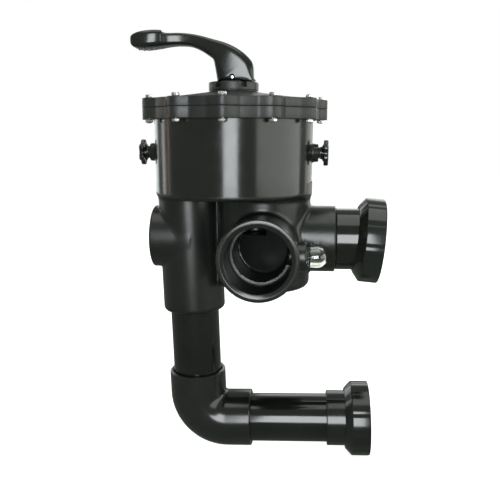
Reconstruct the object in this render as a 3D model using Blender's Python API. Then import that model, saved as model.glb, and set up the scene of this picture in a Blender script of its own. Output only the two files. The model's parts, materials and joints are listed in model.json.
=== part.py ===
"""Side-mount multiport valve for a pool filter, with its union pipework.

Sizes are in millimetres in the constants and in the profiles, and MM turns them into metres.
The valve is drawn about its own stem axis, with Z = 0 on the joint between body and lid, +X
towards the filter, -X under the grip of the lever and -Y towards the front port. The empty
"assembly" then moves the whole valve so that the origin is the centre of the sealing face of
the upper filter union.
"""
import math

import bmesh
import bpy
from mathutils import Vector

MM = 0.001
GAP = 0.3                     # clearance between touching solids
TAU = math.tau

# Facets round a circle
BARREL_SIDES = 48
PORT_SIDES = 28
SEAL_SIDES = 22
SMALL_SIDES = 14

# Body and lid
BODY_R = 98.1
BODY_TOP_R = 98.5
BODY_BOTTOM = -106.0
CAVITY_R = 86.0
CAVITY_FLOOR = -92.0
FLANGE_R = 107.5
LOBE_HEIGHT = 8.3
LOBE_HALF_ANGLE = math.radians(9.5)
BODY_FLANGE_T = 13.0
LID_FLANGE_T = 10.8
BOLT_COUNT = 12
BOLT_CIRCLE_R = 107.8
BOLT_R = 2.5
HEX_ACROSS_FLATS = 8.0
BOLT_HEAD_H = 3.5
NUT_H = 3.4
LID_ORING_R = 92.5
LID_ORING_MINOR = 1.7

# Index collar, stem and handle
COLLAR_R = 30.8
COLLAR_TOP = 32.2
INDEX_SLOTS = 6
INDEX_SLOT_W = 7.4
INDEX_SLOT_DEPTH = 7.0
STEM_R = 11.0
STEM_BORE_R = 12.0
WASHER_R = 23.5
WASHER_TOP = 32.0
PIN_Z = 37.6
PIN_R = 3.3
PIN_LENGTH = 37.0
HUB_BOTTOM = 32.5

# Rotor, gasket and spring
ROTOR_R = 84.0
ROTOR_BOTTOM = -89.6
ROTOR_T = 18.0
ROTOR_HUB_R = 20.0
ROTOR_HUB_TOP = -46.0
SECTORS = 6
SECTOR_INNER_R = 24.0
SECTOR_OUTER_R = 80.0
SECTOR_HALF_ANGLE = math.radians(25.0)
SPRING_R = 16.5
SPRING_WIRE_R = 1.7
SPRING_TURNS = 5.0
SPRING_BOTTOM = -42.5
SPRING_TOP = 9.4

# Ports cast with the body
PORT_Z = -160.9
PORT_R = 41.9
LEFT_PORT_R = 39.5
PORT_SOCKET_R = 31.8
PORT_BORE_R = 28.5
CHAMBER_X = 38.5
CHAMBER_R = 59.0
CHAMBER_BOTTOM = -222.0
UPPER_PORT_END_X = 129.3
LEFT_PORT_END_X = -102.5
FRONT_PORT_X = 40.6
FRONT_PORT_Z = -166.4
FRONT_PORT_END_Y = -132.0
FRONT_NECK_R = 43.6
FRONT_RIM_R = 45.9
FRONT_RIM_LENGTH = 12.0
FRONT_MOUTH_R = 36.6
FRONT_STEP_Y = -88.0
SIDE_RISER_BOTTOM = -151.0
GAUGE_Z = -53.0
GAUGE_BOSS_R = 10.9
GAUGE_BOSS_END_X = 106.0
SIGHT_Y = -92.0
SIGHT_Z = -167.5
SIGHT_BOSS_R = 17.2
SIGHT_BOSS_END_X = 93.5

# Planes that divide the moulded body into plain pieces
CHAMBER_TOP = -106.05
NECK_START = 62.0
SLAB_START = 36.0
BORE_PLANE = 54.0
UPPER_NECK_START = 99.0
COLUMN_PLANE = 37.0           # from the drop leg's axis
CHAMBER_FOOT_DROP = -122.8    # along the drop leg

# Drop leg: it leans a little, its foot towards the filter
DROP_LEAN = math.radians(2.0)
DROP_PIVOT_X = -57.3
COLUMN_R = 40.0
COLUMN_LENGTH = 150.5
COLUMN_SOCKET_DEPTH = 38.0
DUCT_R = 30.6
PIPE_R = 31.5
PIPE_BORE_R = 28.0
CROSS_DROP = 305.0
ELBOW_R = 37.2
ELBOW_BEND_R = 39.5
ELBOW_TOP_DROP = 235.0
ELBOW_END = 71.3

# Unions
UPPER_FACE_X = 174.2
UPPER_NUT_X = 155.0
UPPER_TAIL_R = 38.8
UPPER_NUT_R = 53.3
UPPER_NUT_TILT = math.radians(4.7)
LOWER_TAIL_START = 171.5
LOWER_FACE = 215.0
LOWER_NUT_START = 195.4
LOWER_TAIL_R = 35.9
LOWER_NUT_R = 48.4
UNION_FLANGE_T = 9.0
NUT_CHAMFER = 8.6
NUT_BARREL = 23.0


# ---------------------------------------------------------------- scene and materials

def clear_scene():
    for obj in list(bpy.data.objects):
        bpy.data.objects.remove(obj, do_unlink=True)


def principled(name, color, roughness, metallic=0.0, transmission=0.0):
    """One Principled material; colour is linear RGB."""
    material = bpy.data.materials.new(name)
    material.use_nodes = True
    shader = material.node_tree.nodes["Principled BSDF"]
    shader.inputs["Base Color"].default_value = (*color, 1.0)
    shader.inputs["Roughness"].default_value = roughness
    shader.inputs["Metallic"].default_value = metallic
    shader.inputs["Transmission Weight"].default_value = transmission
    material.diffuse_color = (*color, 1.0)
    return material


FINISHES = {
    "moulded_black": ((0.014, 0.016, 0.014), 0.22, 0.0, 0.0),
    "pipe_black": ((0.010, 0.011, 0.010), 0.16, 0.0, 0.0),
    "satin_black": ((0.020, 0.021, 0.020), 0.42, 0.0, 0.0),
    "rotor_grey": ((0.30, 0.31, 0.31), 0.40, 0.0, 0.0),
    "washer_black": ((0.016, 0.016, 0.016), 0.50, 0.0, 0.0),
    "rubber": ((0.020, 0.020, 0.020), 0.75, 0.0, 0.0),
    "bright_steel": ((0.72, 0.72, 0.70), 0.25, 1.0, 0.0),
    "clear_dome": ((0.90, 0.93, 0.90), 0.06, 0.0, 0.9),
}


def empty(name, location, parent=None, rotation=(0.0, 0.0, 0.0)):
    """A frame for the pieces under it; location in millimetres."""
    frame = bpy.data.objects.new(name, None)
    frame.location = Vector(location) * MM
    frame.rotation_euler = rotation
    frame.parent = parent
    bpy.context.scene.collection.objects.link(frame)
    return frame


def solid(name, bm, finish=None, parent=None, location=(0.0, 0.0, 0.0), rotation=(0.0, 0.0, 0.0)):
    """Turn a millimetre bmesh into a named object; without a finish it is a guide."""
    bmesh.ops.scale(bm, vec=(MM, MM, MM), verts=bm.verts)
    bmesh.ops.recalc_face_normals(bm, faces=bm.faces)
    mesh = bpy.data.meshes.new(name)
    bm.to_mesh(mesh)
    bm.free()
    mesh.shade_smooth()
    mesh.set_sharp_from_angle(angle=math.radians(30.0))
    obj = bpy.data.objects.new(name, mesh)
    obj.location = Vector(location) * MM
    obj.rotation_euler = rotation
    obj.parent = parent
    bpy.context.scene.collection.objects.link(obj)
    if finish is None:
        obj.hide_render = True
        obj.display_type = "WIRE"
    else:
        mesh.materials.append(principled(name + "_finish", *FINISHES[finish]))
    return obj


def combine(obj, operation, guides):
    """Boolean all the guides into obj in one step."""
    group = bpy.data.collections.new(f"{obj.name}_{operation.lower()}")
    bpy.context.scene.collection.children.link(group)
    for guide in guides:
        group.objects.link(guide)
    modifier = obj.modifiers.new(operation.lower(), "BOOLEAN")
    modifier.operation = operation
    modifier.solver = "EXACT"
    modifier.operand_type = "COLLECTION"
    modifier.collection = group
    return obj


# ---------------------------------------------------------------- shapes in millimetres

def turned(profile, steps=PORT_SIDES):
    """Spin a closed outline of (radius, height) points about Z."""
    bm = bmesh.new()
    verts = [bm.verts.new((radius, 0.0, height)) for radius, height in profile]
    edges = []
    for first, second in zip(verts, verts[1:] + verts[:1]):
        on_axis = first.co.xy.length < 1e-6 and second.co.xy.length < 1e-6
        if not on_axis:
            edges.append(bm.edges.new((first, second)))
    bmesh.ops.spin(bm, geom=verts + edges, cent=(0, 0, 0), axis=(0, 0, 1), angle=TAU,
                   steps=steps, use_merge=True, use_duplicate=False)
    bmesh.ops.remove_doubles(bm, verts=bm.verts, dist=1e-4)
    return bm


def rod(radius, bottom, top, steps=PORT_SIDES, chamfer=0.0):
    """A solid cylinder along Z with an optional chamfer at both ends."""
    if chamfer == 0.0:
        return turned([(0, bottom), (radius, bottom), (radius, top), (0, top)], steps)
    inner = radius - chamfer
    return turned([(0, bottom), (inner, bottom), (radius, bottom + chamfer),
                   (radius, top - chamfer), (inner, top), (0, top)], steps)


def ring(inner, outer, bottom, top, steps=PORT_SIDES):
    return turned([(inner, bottom), (outer, bottom), (outer, top), (inner, top)], steps)


def torus(major, minor, steps=SEAL_SIDES, sides=5):
    points = [(major + minor * math.cos(TAU * k / sides), minor * math.sin(TAU * k / sides))
              for k in range(sides)]
    return turned(points, steps)


def extruded(outline, bottom, top):
    """Extrude a closed XY outline from bottom to top."""
    bm = bmesh.new()
    face = bm.faces.new([bm.verts.new((x, y, bottom)) for x, y in outline])
    lifted = bmesh.ops.extrude_face_region(bm, geom=[face])
    raised = [item for item in lifted["geom"] if isinstance(item, bmesh.types.BMVert)]
    bmesh.ops.translate(bm, vec=(0, 0, top - bottom), verts=raised)
    return bm


def arc(center, radius, start, stop, count):
    """Points of an arc, both ends included."""
    return [(center[0] + radius * math.cos(start + (stop - start) * k / (count - 1)),
             center[1] + radius * math.sin(start + (stop - start) * k / (count - 1)))
            for k in range(count)]


def hexagon(across_flats):
    corner_r = across_flats / math.sqrt(3.0)
    return [(corner_r * math.cos(TAU * (k + 0.5) / 6), corner_r * math.sin(TAU * (k + 0.5) / 6))
            for k in range(6)]


def scalloped_outline():
    """Flange outline: a circle that swells into one soft lobe for each bolt."""
    points = []
    for k in range(BOLT_COUNT):
        middle = TAU * k / BOLT_COUNT
        for step in range(-4, 5):
            swell = ((1 + math.cos(math.pi * step / 4)) / 2) ** 0.7
            radius = FLANGE_R + LOBE_HEIGHT * swell
            angle = middle + LOBE_HALF_ANGLE * step / 4
            points.append((radius * math.cos(angle), radius * math.sin(angle)))
        between = middle + math.pi / BOLT_COUNT
        points.append((FLANGE_R * math.cos(between), FLANGE_R * math.sin(between)))
    return points


def sector_outline(middle, inner=SECTOR_INNER_R, outer=SECTOR_OUTER_R, half=SECTOR_HALF_ANGLE):
    return (arc((0, 0), outer, middle - half, middle + half, 6)
            + arc((0, 0), inner, middle + half, middle - half, 3))


def swept_tube(stations, steps=PORT_SIDES):
    """A pipe through stations of (centre, direction of bend angle, outer radius, inner radius).

    The bend lies in the XZ plane: angle 0 runs down -Z and a right angle runs along +X.
    """
    bm = bmesh.new()
    outer_rings = []
    inner_rings = []
    for (x, z), angle, outer, inner in stations:
        side = Vector((math.cos(angle), 0.0, math.sin(angle)))
        for rings, radius in ((outer_rings, outer), (inner_rings, inner)):
            loop = []
            for k in range(steps):
                turn = TAU * k / steps
                point = Vector((x, 0.0, z)) + side * (radius * math.cos(turn))
                loop.append(bm.verts.new(point + Vector((0, radius * math.sin(turn), 0))))
            rings.append(loop)
    loops = outer_rings + inner_rings[::-1]
    for first, second in zip(loops, loops[1:] + loops[:1]):
        for k in range(steps):
            after = (k + 1) % steps
            bm.faces.new((first[k], first[after], second[after], second[k]))
    return bm


def lofted(sections):
    """Skin closed sections of equal point counts and cap both ends."""
    bm = bmesh.new()
    loops = [[bm.verts.new(point) for point in section] for section in sections]
    for first, second in zip(loops, loops[1:]):
        for k in range(len(first)):
            after = (k + 1) % len(first)
            bm.faces.new((first[k], first[after], second[after], second[k]))
    bm.faces.new(loops[0][::-1])
    bm.faces.new(loops[-1])
    bmesh.ops.triangulate(bm, faces=bm.faces)
    return bm


def along_x(angle=0.0):
    """Rotation that lays a Z solid along +X."""
    return (0.0, math.pi / 2 + angle, 0.0)


def along_minus_x():
    return (0.0, -math.pi / 2, 0.0)


def along_minus_y():
    return (math.pi / 2, 0.0, 0.0)


def along_y():
    return (-math.pi / 2, 0.0, 0.0)


# ---------------------------------------------------------------- body

def body_outside(assembly, drop):
    """Guides that are joined to the main barrel."""
    flange = solid("add_flange", extruded(scalloped_outline(), -BODY_FLANGE_T, 0), None, assembly)
    column = solid("add_column", turned([(0, 4), (COLUMN_R, 4), (COLUMN_R, 6 - COLUMN_LENGTH),
                                         (COLUMN_R - 5, -COLUMN_LENGTH), (0, -COLUMN_LENGTH)]),
                   None, drop)
    chamber = solid("add_chamber", turned([(0, -102), (CHAMBER_R, -102),
                                           (CHAMBER_R, CHAMBER_BOTTOM + 9),
                                           (CHAMBER_R - 3, CHAMBER_BOTTOM + 3),
                                           (CHAMBER_R - 9, CHAMBER_BOTTOM), (0, CHAMBER_BOTTOM)]),
                    None, assembly, (CHAMBER_X, 0, 0))
    upper = solid("add_upper_port", rod(PORT_R, 0, UPPER_PORT_END_X - CHAMBER_X, chamfer=1.6), None,
                  assembly, (CHAMBER_X, 0, PORT_Z), along_x())
    left = solid("add_left_port", rod(LEFT_PORT_R, 0, -LEFT_PORT_END_X - 55, chamfer=1.6), None,
                 assembly, (-55, 0, PORT_Z), along_minus_x())
    guides = [flange, column, chamber, upper, left]
    neck_length = -FRONT_PORT_END_Y
    neck = [(0, 0), (FRONT_NECK_R, 0), (FRONT_NECK_R, neck_length - FRONT_RIM_LENGTH),
            (FRONT_RIM_R, neck_length - FRONT_RIM_LENGTH + 2), (FRONT_RIM_R, neck_length - 1.5),
            (FRONT_RIM_R - 1.5, neck_length), (0, neck_length)]
    for side, rotation in (("front", along_minus_y()), ("back", along_y())):
        guides.append(solid(f"add_{side}_port", turned(neck), None, assembly,
                            (FRONT_PORT_X, 0, FRONT_PORT_Z), rotation))
    for side, rotation in (("left", along_minus_x()), ("right", along_x())):
        guides.append(solid(f"add_{side}_gauge_boss", rod(GAUGE_BOSS_R, 80, GAUGE_BOSS_END_X, SMALL_SIDES, 1),
                            None, assembly, (0, 0, GAUGE_Z), rotation))
    guides.append(solid("add_sight_boss", rod(SIGHT_BOSS_R, 0, SIGHT_BOSS_END_X - 60, SMALL_SIDES, 1), None,
                        assembly, (60, SIGHT_Y, SIGHT_Z), along_x()))
    return guides


def half_duct(name, side, bottom, drop):
    """One half of the divided column: side -1 is outside, +1 is inside the dividing wall."""
    half = math.acos(3.0 / DUCT_R)
    middle = 0.0 if side > 0 else math.pi
    outline = arc((0, 0), DUCT_R, middle - half, middle + half, 12)
    return solid(name, extruded(outline, bottom, 20.0), None, drop)


def body_inside(assembly, drop):
    """Guides that are cut from the body: cavity, ducts, port sockets and holes."""
    cuts = [solid("cut_cavity", rod(CAVITY_R, CAVITY_FLOOR, 20, BARREL_SIDES), None, assembly)]
    groove = ring(LID_ORING_R - 2.1, LID_ORING_R + 2.1, -2 * LID_ORING_MINOR - 0.2, 5, BARREL_SIDES)
    cuts.append(solid("cut_lid_oring_groove", groove, None, assembly))
    ducts = {
        "upper": (58.0, 0.0, 19.0, PORT_Z),
        "front": (30.0, -32.0, 18.0, SIDE_RISER_BOTTOM),
        "back": (30.0, 32.0, 18.0, SIDE_RISER_BOTTOM),
    }
    for name, (x, y, radius, bottom) in ducts.items():
        cuts.append(solid(f"cut_{name}_riser", rod(radius, bottom, CAVITY_FLOOR + 5, SMALL_SIDES), None,
                          assembly, (x, y, 0)))
    cuts.append(half_duct("cut_return_duct", -1, -92.0, drop))
    cuts.append(half_duct("cut_filter_duct", 1, -COLUMN_LENGTH + COLUMN_SOCKET_DEPTH - 1, drop))
    cuts.append(solid("cut_column_socket", rod(PORT_SOCKET_R, -COLUMN_LENGTH - 5,
                                               -COLUMN_LENGTH + COLUMN_SOCKET_DEPTH), None, drop))
    depth = UPPER_PORT_END_X - 52.0
    upper = turned([(0, 0), (PORT_BORE_R, 0), (PORT_BORE_R, depth - 38), (PORT_SOCKET_R, depth - 38),
                    (PORT_SOCKET_R, depth + 5), (0, depth + 5)])
    cuts.append(solid("cut_upper_port", upper, None, assembly, (52, 0, PORT_Z), along_x()))
    left = rod(PORT_SOCKET_R, 0, 35)
    cuts.append(solid("cut_left_port", left, None, assembly, (-70, 0, PORT_Z + 2), along_minus_x()))
    reach = -FRONT_PORT_END_Y
    step = -FRONT_STEP_Y
    mouth = [(0, 33), (PORT_SOCKET_R, 33), (PORT_SOCKET_R, step), (FRONT_MOUTH_R - 1.6, step),
             (FRONT_MOUTH_R, reach + 2), (0, reach + 2)]
    for side, rotation in (("front", along_minus_y()), ("back", along_y())):
        cuts.append(solid(f"cut_{side}_port", turned(mouth), None, assembly,
                          (FRONT_PORT_X, 0, FRONT_PORT_Z), rotation))
    for side, rotation in (("left", along_minus_x()), ("right", along_x())):
        cuts.append(solid(f"cut_{side}_gauge_hole", rod(6.6, 75, 115, SMALL_SIDES), None, assembly,
                          (0, 0, GAUGE_Z), rotation))
    cuts.append(solid("cut_sight_hole", rod(10.2, 0, 40, SMALL_SIDES), None, assembly,
                      (62, SIGHT_Y, SIGHT_Z), along_x()))
    return cuts


def bolt_place(index):
    angle = TAU * index / BOLT_COUNT
    return (BOLT_CIRCLE_R * math.cos(angle), BOLT_CIRCLE_R * math.sin(angle), 0.0)


def bolt_hole_guides(assembly, prefix):
    return [solid(f"{prefix}_{k + 1:02d}", rod(BOLT_R + 0.5, -40, 40, 8), None, assembly,
                  bolt_place(k)) for k in range(BOLT_COUNT)]


def zone(name, low, high, parent):
    """A box of space that a piece of the body leaves to its neighbours."""
    outline = [(low[0], low[1]), (high[0], low[1]), (high[0], high[1]), (low[0], high[1])]
    return solid(name, extruded(outline, low[2], high[2]), None, parent)


def make_body(assembly, drop, holes):
    """The moulded body, divided at flat planes into eight plain pieces that stand a gap apart."""
    outside = body_outside(assembly, drop)
    inside = body_inside(assembly, drop) + holes
    far = 400.0
    edge = {
        "above": ((-far, -far, CHAMBER_TOP), (far, far, far), assembly),
        "below": ((-far, -far, -far), (far, far, CHAMBER_TOP + GAP), assembly),
        "ahead": ((-far, -far, -far), (far, -NECK_START, far), assembly),
        "behind": ((-far, NECK_START, -far), (far, far, far), assembly),
        "not_ahead": ((-far, -NECK_START - GAP, -far), (far, far, far), assembly),
        "not_behind": ((-far, -far, -far), (far, NECK_START + GAP, far), assembly),
        "middle_front": ((-far, -SLAB_START - GAP, -far), (far, far, far), assembly),
        "middle_back": ((-far, -far, -far), (far, SLAB_START + GAP, far), assembly),
        "slab_front": ((-far, -far, -far), (UPPER_NECK_START + GAP, -SLAB_START, far), assembly),
        "slab_back": ((-far, SLAB_START, -far), (UPPER_NECK_START + GAP, far, far), assembly),
        "after": ((UPPER_NECK_START, -far, -far), (far, far, far), assembly),
        "before_bore": ((-far, -far, -far), (BORE_PLANE, far, far), assembly),
        "after_bore": ((BORE_PLANE - GAP, -far, -far), (far, far, far), assembly),
        "left": ((-far, -far, -far), (COLUMN_PLANE + GAP, far, far), drop),
        "low": ((-far, -far, -far), (far, far, CHAMBER_FOOT_DROP + GAP), drop),
        "right": ((COLUMN_PLANE, -far, CHAMBER_FOOT_DROP), (far, far, far), drop),
    }
    zones_by_name = {name: zone(f"zone_{name}", *limits) for name, limits in edge.items()}
    pieces = {
        "valve_body": "below",
        "chamber_front": "above left low ahead middle_front after",
        "chamber_back": "above left low behind middle_back after",
        "chamber_left": "above left low slab_front slab_back after_bore",
        "chamber_right": "above slab_front slab_back before_bore",
        "front_neck": "above not_ahead",
        "back_neck": "above not_behind",
        "drop_column": "above right",
    }
    for name, neighbours in pieces.items():
        barrel = turned([(0, BODY_BOTTOM), (BODY_R - 4, BODY_BOTTOM), (BODY_R - 1.2, BODY_BOTTOM + 1.2),
                         (BODY_R, BODY_BOTTOM + 4), (BODY_TOP_R, -5), (0, -5)], BARREL_SIDES)
        piece = solid(name, barrel, "moulded_black", assembly)
        combine(piece, "UNION", outside)
        zones = [zones_by_name[neighbour] for neighbour in neighbours.split()]
        combine(piece, "DIFFERENCE", inside + zones)


# ---------------------------------------------------------------- lid and its seal

def make_lid(assembly, holes):
    """Conical lid with the index collar on top and a hollow underside."""
    dome = turned([(STEM_BORE_R, 12), (26, 12), (38, 10.5), (80, 3.5), (84, 0), (97.5, 0),
                   (97.5, LID_FLANGE_T), (COLLAR_R + 1.5, 20), (COLLAR_R - 1.6, 20.3),
                   (COLLAR_R - 1.6, 22), (COLLAR_R, 22.4), (COLLAR_R, COLLAR_TOP - 1.2),
                   (COLLAR_R - 1.2, COLLAR_TOP), (WASHER_R + 0.5, COLLAR_TOP),
                   (WASHER_R + 0.5, WASHER_TOP - 4.3), (STEM_BORE_R, WASHER_TOP - 4.3)],
                  BARREL_SIDES)
    lid = solid("lid", dome, "satin_black", assembly)
    inner_r = 96.0
    outline = scalloped_outline()
    flange = solid("add_lid_flange", extruded(outline, 0, LID_FLANGE_T), None, assembly)
    bore = solid("cut_lid_flange_bore", rod(inner_r, -5, 40, BARREL_SIDES), None, assembly)
    combine(flange, "DIFFERENCE", [bore])
    combine(lid, "UNION", [flange])
    slots = []
    for k in range(INDEX_SLOTS):
        half = INDEX_SLOT_W / 2
        box = extruded([(23, -half), (40, -half), (40, half), (23, half)],
                       COLLAR_TOP - INDEX_SLOT_DEPTH, COLLAR_TOP + 5)
        slots.append(solid(f"cut_index_slot_{k + 1}", box, None, assembly, (0, 0, 0),
                           (0, 0, TAU * k / INDEX_SLOTS)))
    return combine(lid, "DIFFERENCE", slots + holes)


def make_seals(assembly):
    solid("lid_oring", torus(LID_ORING_R, LID_ORING_MINOR, 40), "rubber", assembly,
          (0, 0, -LID_ORING_MINOR - 0.25))
    gasket = solid("spider_gasket", ring(14, CAVITY_R - GAP, CAVITY_FLOOR + GAP,
                                         CAVITY_FLOOR + 2.2, BARREL_SIDES), "rubber", assembly)
    windows = [solid(f"cut_gasket_window_{k + 1}",
                     extruded(sector_outline(TAU * k / SECTORS), -120, -60), None, assembly)
               for k in range(SECTORS)]
    combine(gasket, "DIFFERENCE", windows)


# ---------------------------------------------------------------- stem group

def make_rotor(stem):
    """Diverter with its stem; it lifts off the gasket before it turns."""
    top = ROTOR_BOTTOM + ROTOR_T
    groove = 1.7
    profile = [(0, ROTOR_BOTTOM), (ROTOR_R, ROTOR_BOTTOM), (ROTOR_R, top - 6), (ROTOR_R - 4, top),
               (ROTOR_HUB_R + 6, top), (ROTOR_HUB_R, top + 6), (ROTOR_HUB_R, ROTOR_HUB_TOP),
               (STEM_R, ROTOR_HUB_TOP)]
    for height in (15.0, 22.0):
        profile += [(STEM_R, height - 1.5), (STEM_R - groove, height - 1.5),
                    (STEM_R - groove, height + 1.5), (STEM_R, height + 1.5)]
    profile += [(STEM_R, 43.0), (STEM_R - 2, 45.0), (0, 45.0)]
    rotor = solid("rotor", turned(profile, 32), "rotor_grey", stem)
    half = math.radians(24.0)
    window = solid("cut_rotor_window", extruded(sector_outline(0.0, 27, 78, half), -120, -60),
                   None, stem)
    wide = math.radians(54.0)
    pocket = solid("cut_rotor_pocket",
                   extruded(sector_outline(math.pi, 27, 78, wide), -120, ROTOR_BOTTOM + 12), None, stem)
    bore = solid("cut_stem_pin_hole", rod(PIN_R + GAP, -30, 30, 16), None, stem, (0, 0, PIN_Z),
                 along_y())
    combine(rotor, "DIFFERENCE", [window, pocket, bore])
    for index, height in enumerate((15.0, 22.0)):
        solid(f"stem_oring_{index + 1}", torus(STEM_R - 0.25, 1.05, 20), "rubber", stem,
              (0, 0, height))
    pin = rod(PIN_R, -PIN_LENGTH / 2, PIN_LENGTH / 2, 16, 0.6)
    solid("handle_pin", pin, "bright_steel", stem, (0, 0, PIN_Z), along_y())
    solid("spring_washer", ring(STEM_R + 0.5, 21.0, ROTOR_HUB_TOP + GAP, ROTOR_HUB_TOP + 1.5, SEAL_SIDES),
          "bright_steel", stem)


def make_spring(stem):
    """Compression spring round the stem, between the lid and the washer on the rotor."""
    per_turn = 16
    count = int(SPRING_TURNS * per_turn)
    sides = 6
    coils = []
    for k in range(count + 1):
        angle = TAU * k / per_turn
        height = SPRING_BOTTOM + (SPRING_TOP - SPRING_BOTTOM) * k / count
        outward = Vector((math.cos(angle), math.sin(angle), 0))
        center = outward * SPRING_R + Vector((0, 0, height))
        coils.append([center + outward * (SPRING_WIRE_R * math.cos(TAU * j / sides))
                      + Vector((0, 0, SPRING_WIRE_R * math.sin(TAU * j / sides)))
                      for j in range(sides)])
    solid("spring", lofted(coils), "bright_steel", stem)


def handle_sections():
    """Rounded sections of the lever, from the tip of the grip to the back of the hub.

    Each row: x of the top edge, z of the top edge, x and z of the bottom edge, half width.
    """
    rows = [(-125.6, 84.5, -125.6, 78.0, 13.0), (-123.5, 88.0, -122.5, 74.6, 17.0),
            (-117.0, 91.0, -116.5, 72.7, 19.5), (-106.0, 93.2, -106.0, 72.5, 20.5),
            (-92.0, 93.9, -93.0, 74.0, 19.0), (-86.0, 92.6, -87.0, 74.7, 17.0),
            (-80.0, 90.3, -80.0, 75.5, 14.5), (-66.0, 90.6, -66.0, 76.4, 12.5),
            (-52.0, 89.4, -53.0, 75.4, 12.5), (-38.0, 86.7, -43.0, 71.8, 13.5),
            (-24.0, 82.8, -33.0, 66.0, 15.5), (-10.0, 78.9, -24.3, 59.0, 17.5),
            (2.0, 73.8, -21.8, 50.0, 19.0), (12.0, 67.6, -20.4, 42.0, 19.6),
            (20.0, 60.6, -19.0, HUB_BOTTOM + 1.2, 19.8), (24.6, 54.5, -17.4, HUB_BOTTOM, 19.8),
            (26.2, 46.0, 0.0, HUB_BOTTOM, 19.4), (26.6, HUB_BOTTOM + 3, 20.0, HUB_BOTTOM, 18.0)]
    sections = []
    for top_x, top_z, bottom_x, bottom_z, half in rows:
        top = Vector((top_x, 0.0, top_z))
        bottom = Vector((bottom_x, 0.0, bottom_z))
        middle = (top + bottom) / 2
        up = (top - bottom) / 2
        points = []
        for k in range(16):
            angle = TAU * k / 16
            across = math.copysign(abs(math.cos(angle)) ** 0.55, math.cos(angle))
            rise = math.copysign(abs(math.sin(angle)) ** 0.55, math.sin(angle))
            points.append(middle + up * rise + Vector((0, half * across, 0)))
        sections.append(points)
    return sections


def make_handle(pin_frame):
    """Lever with a hollow hub that straddles the stem; its frame is on the pin."""
    here = (0, 0, -PIN_Z)
    handle = solid("handle", lofted(handle_sections()), "moulded_black", pin_frame, here)
    slot_half = STEM_R + 1.0
    nose = arc((1.8, 0), slot_half, math.pi / 2, -math.pi / 2, 9)
    outline = [(-15.5, -slot_half), (-15.5, slot_half)] + nose
    slot = solid("cut_handle_slot", extruded(outline, 20, 53), None, pin_frame, here)
    hole = solid("cut_handle_pin_hole", rod(PIN_R + GAP, -30, 30, 16), None, pin_frame, (0, 0, 0),
                 along_y())
    combine(handle, "DIFFERENCE", [slot, hole])


# ---------------------------------------------------------------- fasteners, plugs, sight glass

def make_fasteners(assembly):
    """Twelve bolts with their nuts, one of each in every lobe."""
    seat = LID_FLANGE_T + GAP
    for k in range(BOLT_COUNT):
        head = extruded(hexagon(HEX_ACROSS_FLATS), seat, seat + BOLT_HEAD_H)
        bolt = solid(f"bolt_{k + 1:02d}", head, "bright_steel", assembly, bolt_place(k))
        shank = solid(f"add_shank_{k + 1:02d}", rod(BOLT_R, -BODY_FLANGE_T - 4.3, seat + 1, 12),
                      None, assembly, bolt_place(k))
        combine(bolt, "UNION", [shank])
        top = -BODY_FLANGE_T - GAP
        nut = solid(f"nut_{k + 1:02d}", extruded(hexagon(HEX_ACROSS_FLATS), top - NUT_H, top),
                    "bright_steel", assembly, bolt_place(k))
        hole = solid(f"cut_nut_hole_{k + 1:02d}", rod(BOLT_R + GAP, -40, 10, 12), None, assembly,
                     bolt_place(k))
        combine(nut, "DIFFERENCE", [hole])


def star_outline(points=6, outer=15.7, inner=12.6):
    """A knob outline with round lobes."""
    outline = []
    for k in range(points * 8):
        angle = TAU * k / (points * 8)
        wave = (1 + math.cos(points * angle)) / 2
        outline.append(((inner + (outer - inner) * wave) * math.cos(angle),
                        (inner + (outer - inner) * wave) * math.sin(angle)))
    return outline


def make_gauge_plugs(assembly):
    """Screw plugs in the two gauge ports, each with its O-ring under the shoulder."""
    for side, sign, rotation in (("left", -1, along_minus_x()), ("right", 1, along_x())):
        frame = empty(f"{side}_plug_axis", (sign * GAUGE_BOSS_END_X, 0, GAUGE_Z), assembly, rotation)
        stem = turned([(0, -24), (5.4, -24), (6.2, -22.5), (6.2, 0.3), (5.2, 0.3), (5.2, 2.0),
                       (7.6, 2.0), (7.6, 4.0), (10.8, 8.0), (0, 8.0)], SMALL_SIDES)
        plug = solid(f"gauge_plug_{side}", stem, "moulded_black", frame)
        knob = solid(f"add_{side}_knob", extruded(star_outline(), 6.5, 12.2), None, frame)
        combine(plug, "UNION", [knob])
        solid(f"gauge_plug_oring_{side}", torus(6.35, 0.75, SMALL_SIDES), "rubber", frame, (0, 0, 1.1))


def make_sight_glass(assembly):
    """Clear dome screwed into the boss beside the front port."""
    frame = empty("sight_axis", (SIGHT_BOSS_END_X, SIGHT_Y, SIGHT_Z), assembly, along_x())
    slices = [math.radians(angle) for angle in range(0, 90, 18)]
    outer = [(12.2 * math.cos(angle), 12.5 + 11.4 * math.sin(angle)) for angle in slices]
    inner = [(9.9 * math.cos(angle), 12.5 + 9.1 * math.sin(angle)) for angle in slices]
    profile = [(7.8, -13.0), (9.9, -13.0), (9.9, 2.2), (12.2, 2.2)] + outer + [(0, 23.9), (0, 21.6)]
    profile += inner[::-1] + [(9.9, 4.5), (7.8, 3.0)]
    solid("sight_glass", turned(profile, 20), "clear_dome", frame)
    solid("sight_glass_oring", torus(11.1, 0.85, 20), "rubber", frame, (0, 0, 1.2))


# ---------------------------------------------------------------- pipework and unions

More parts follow.
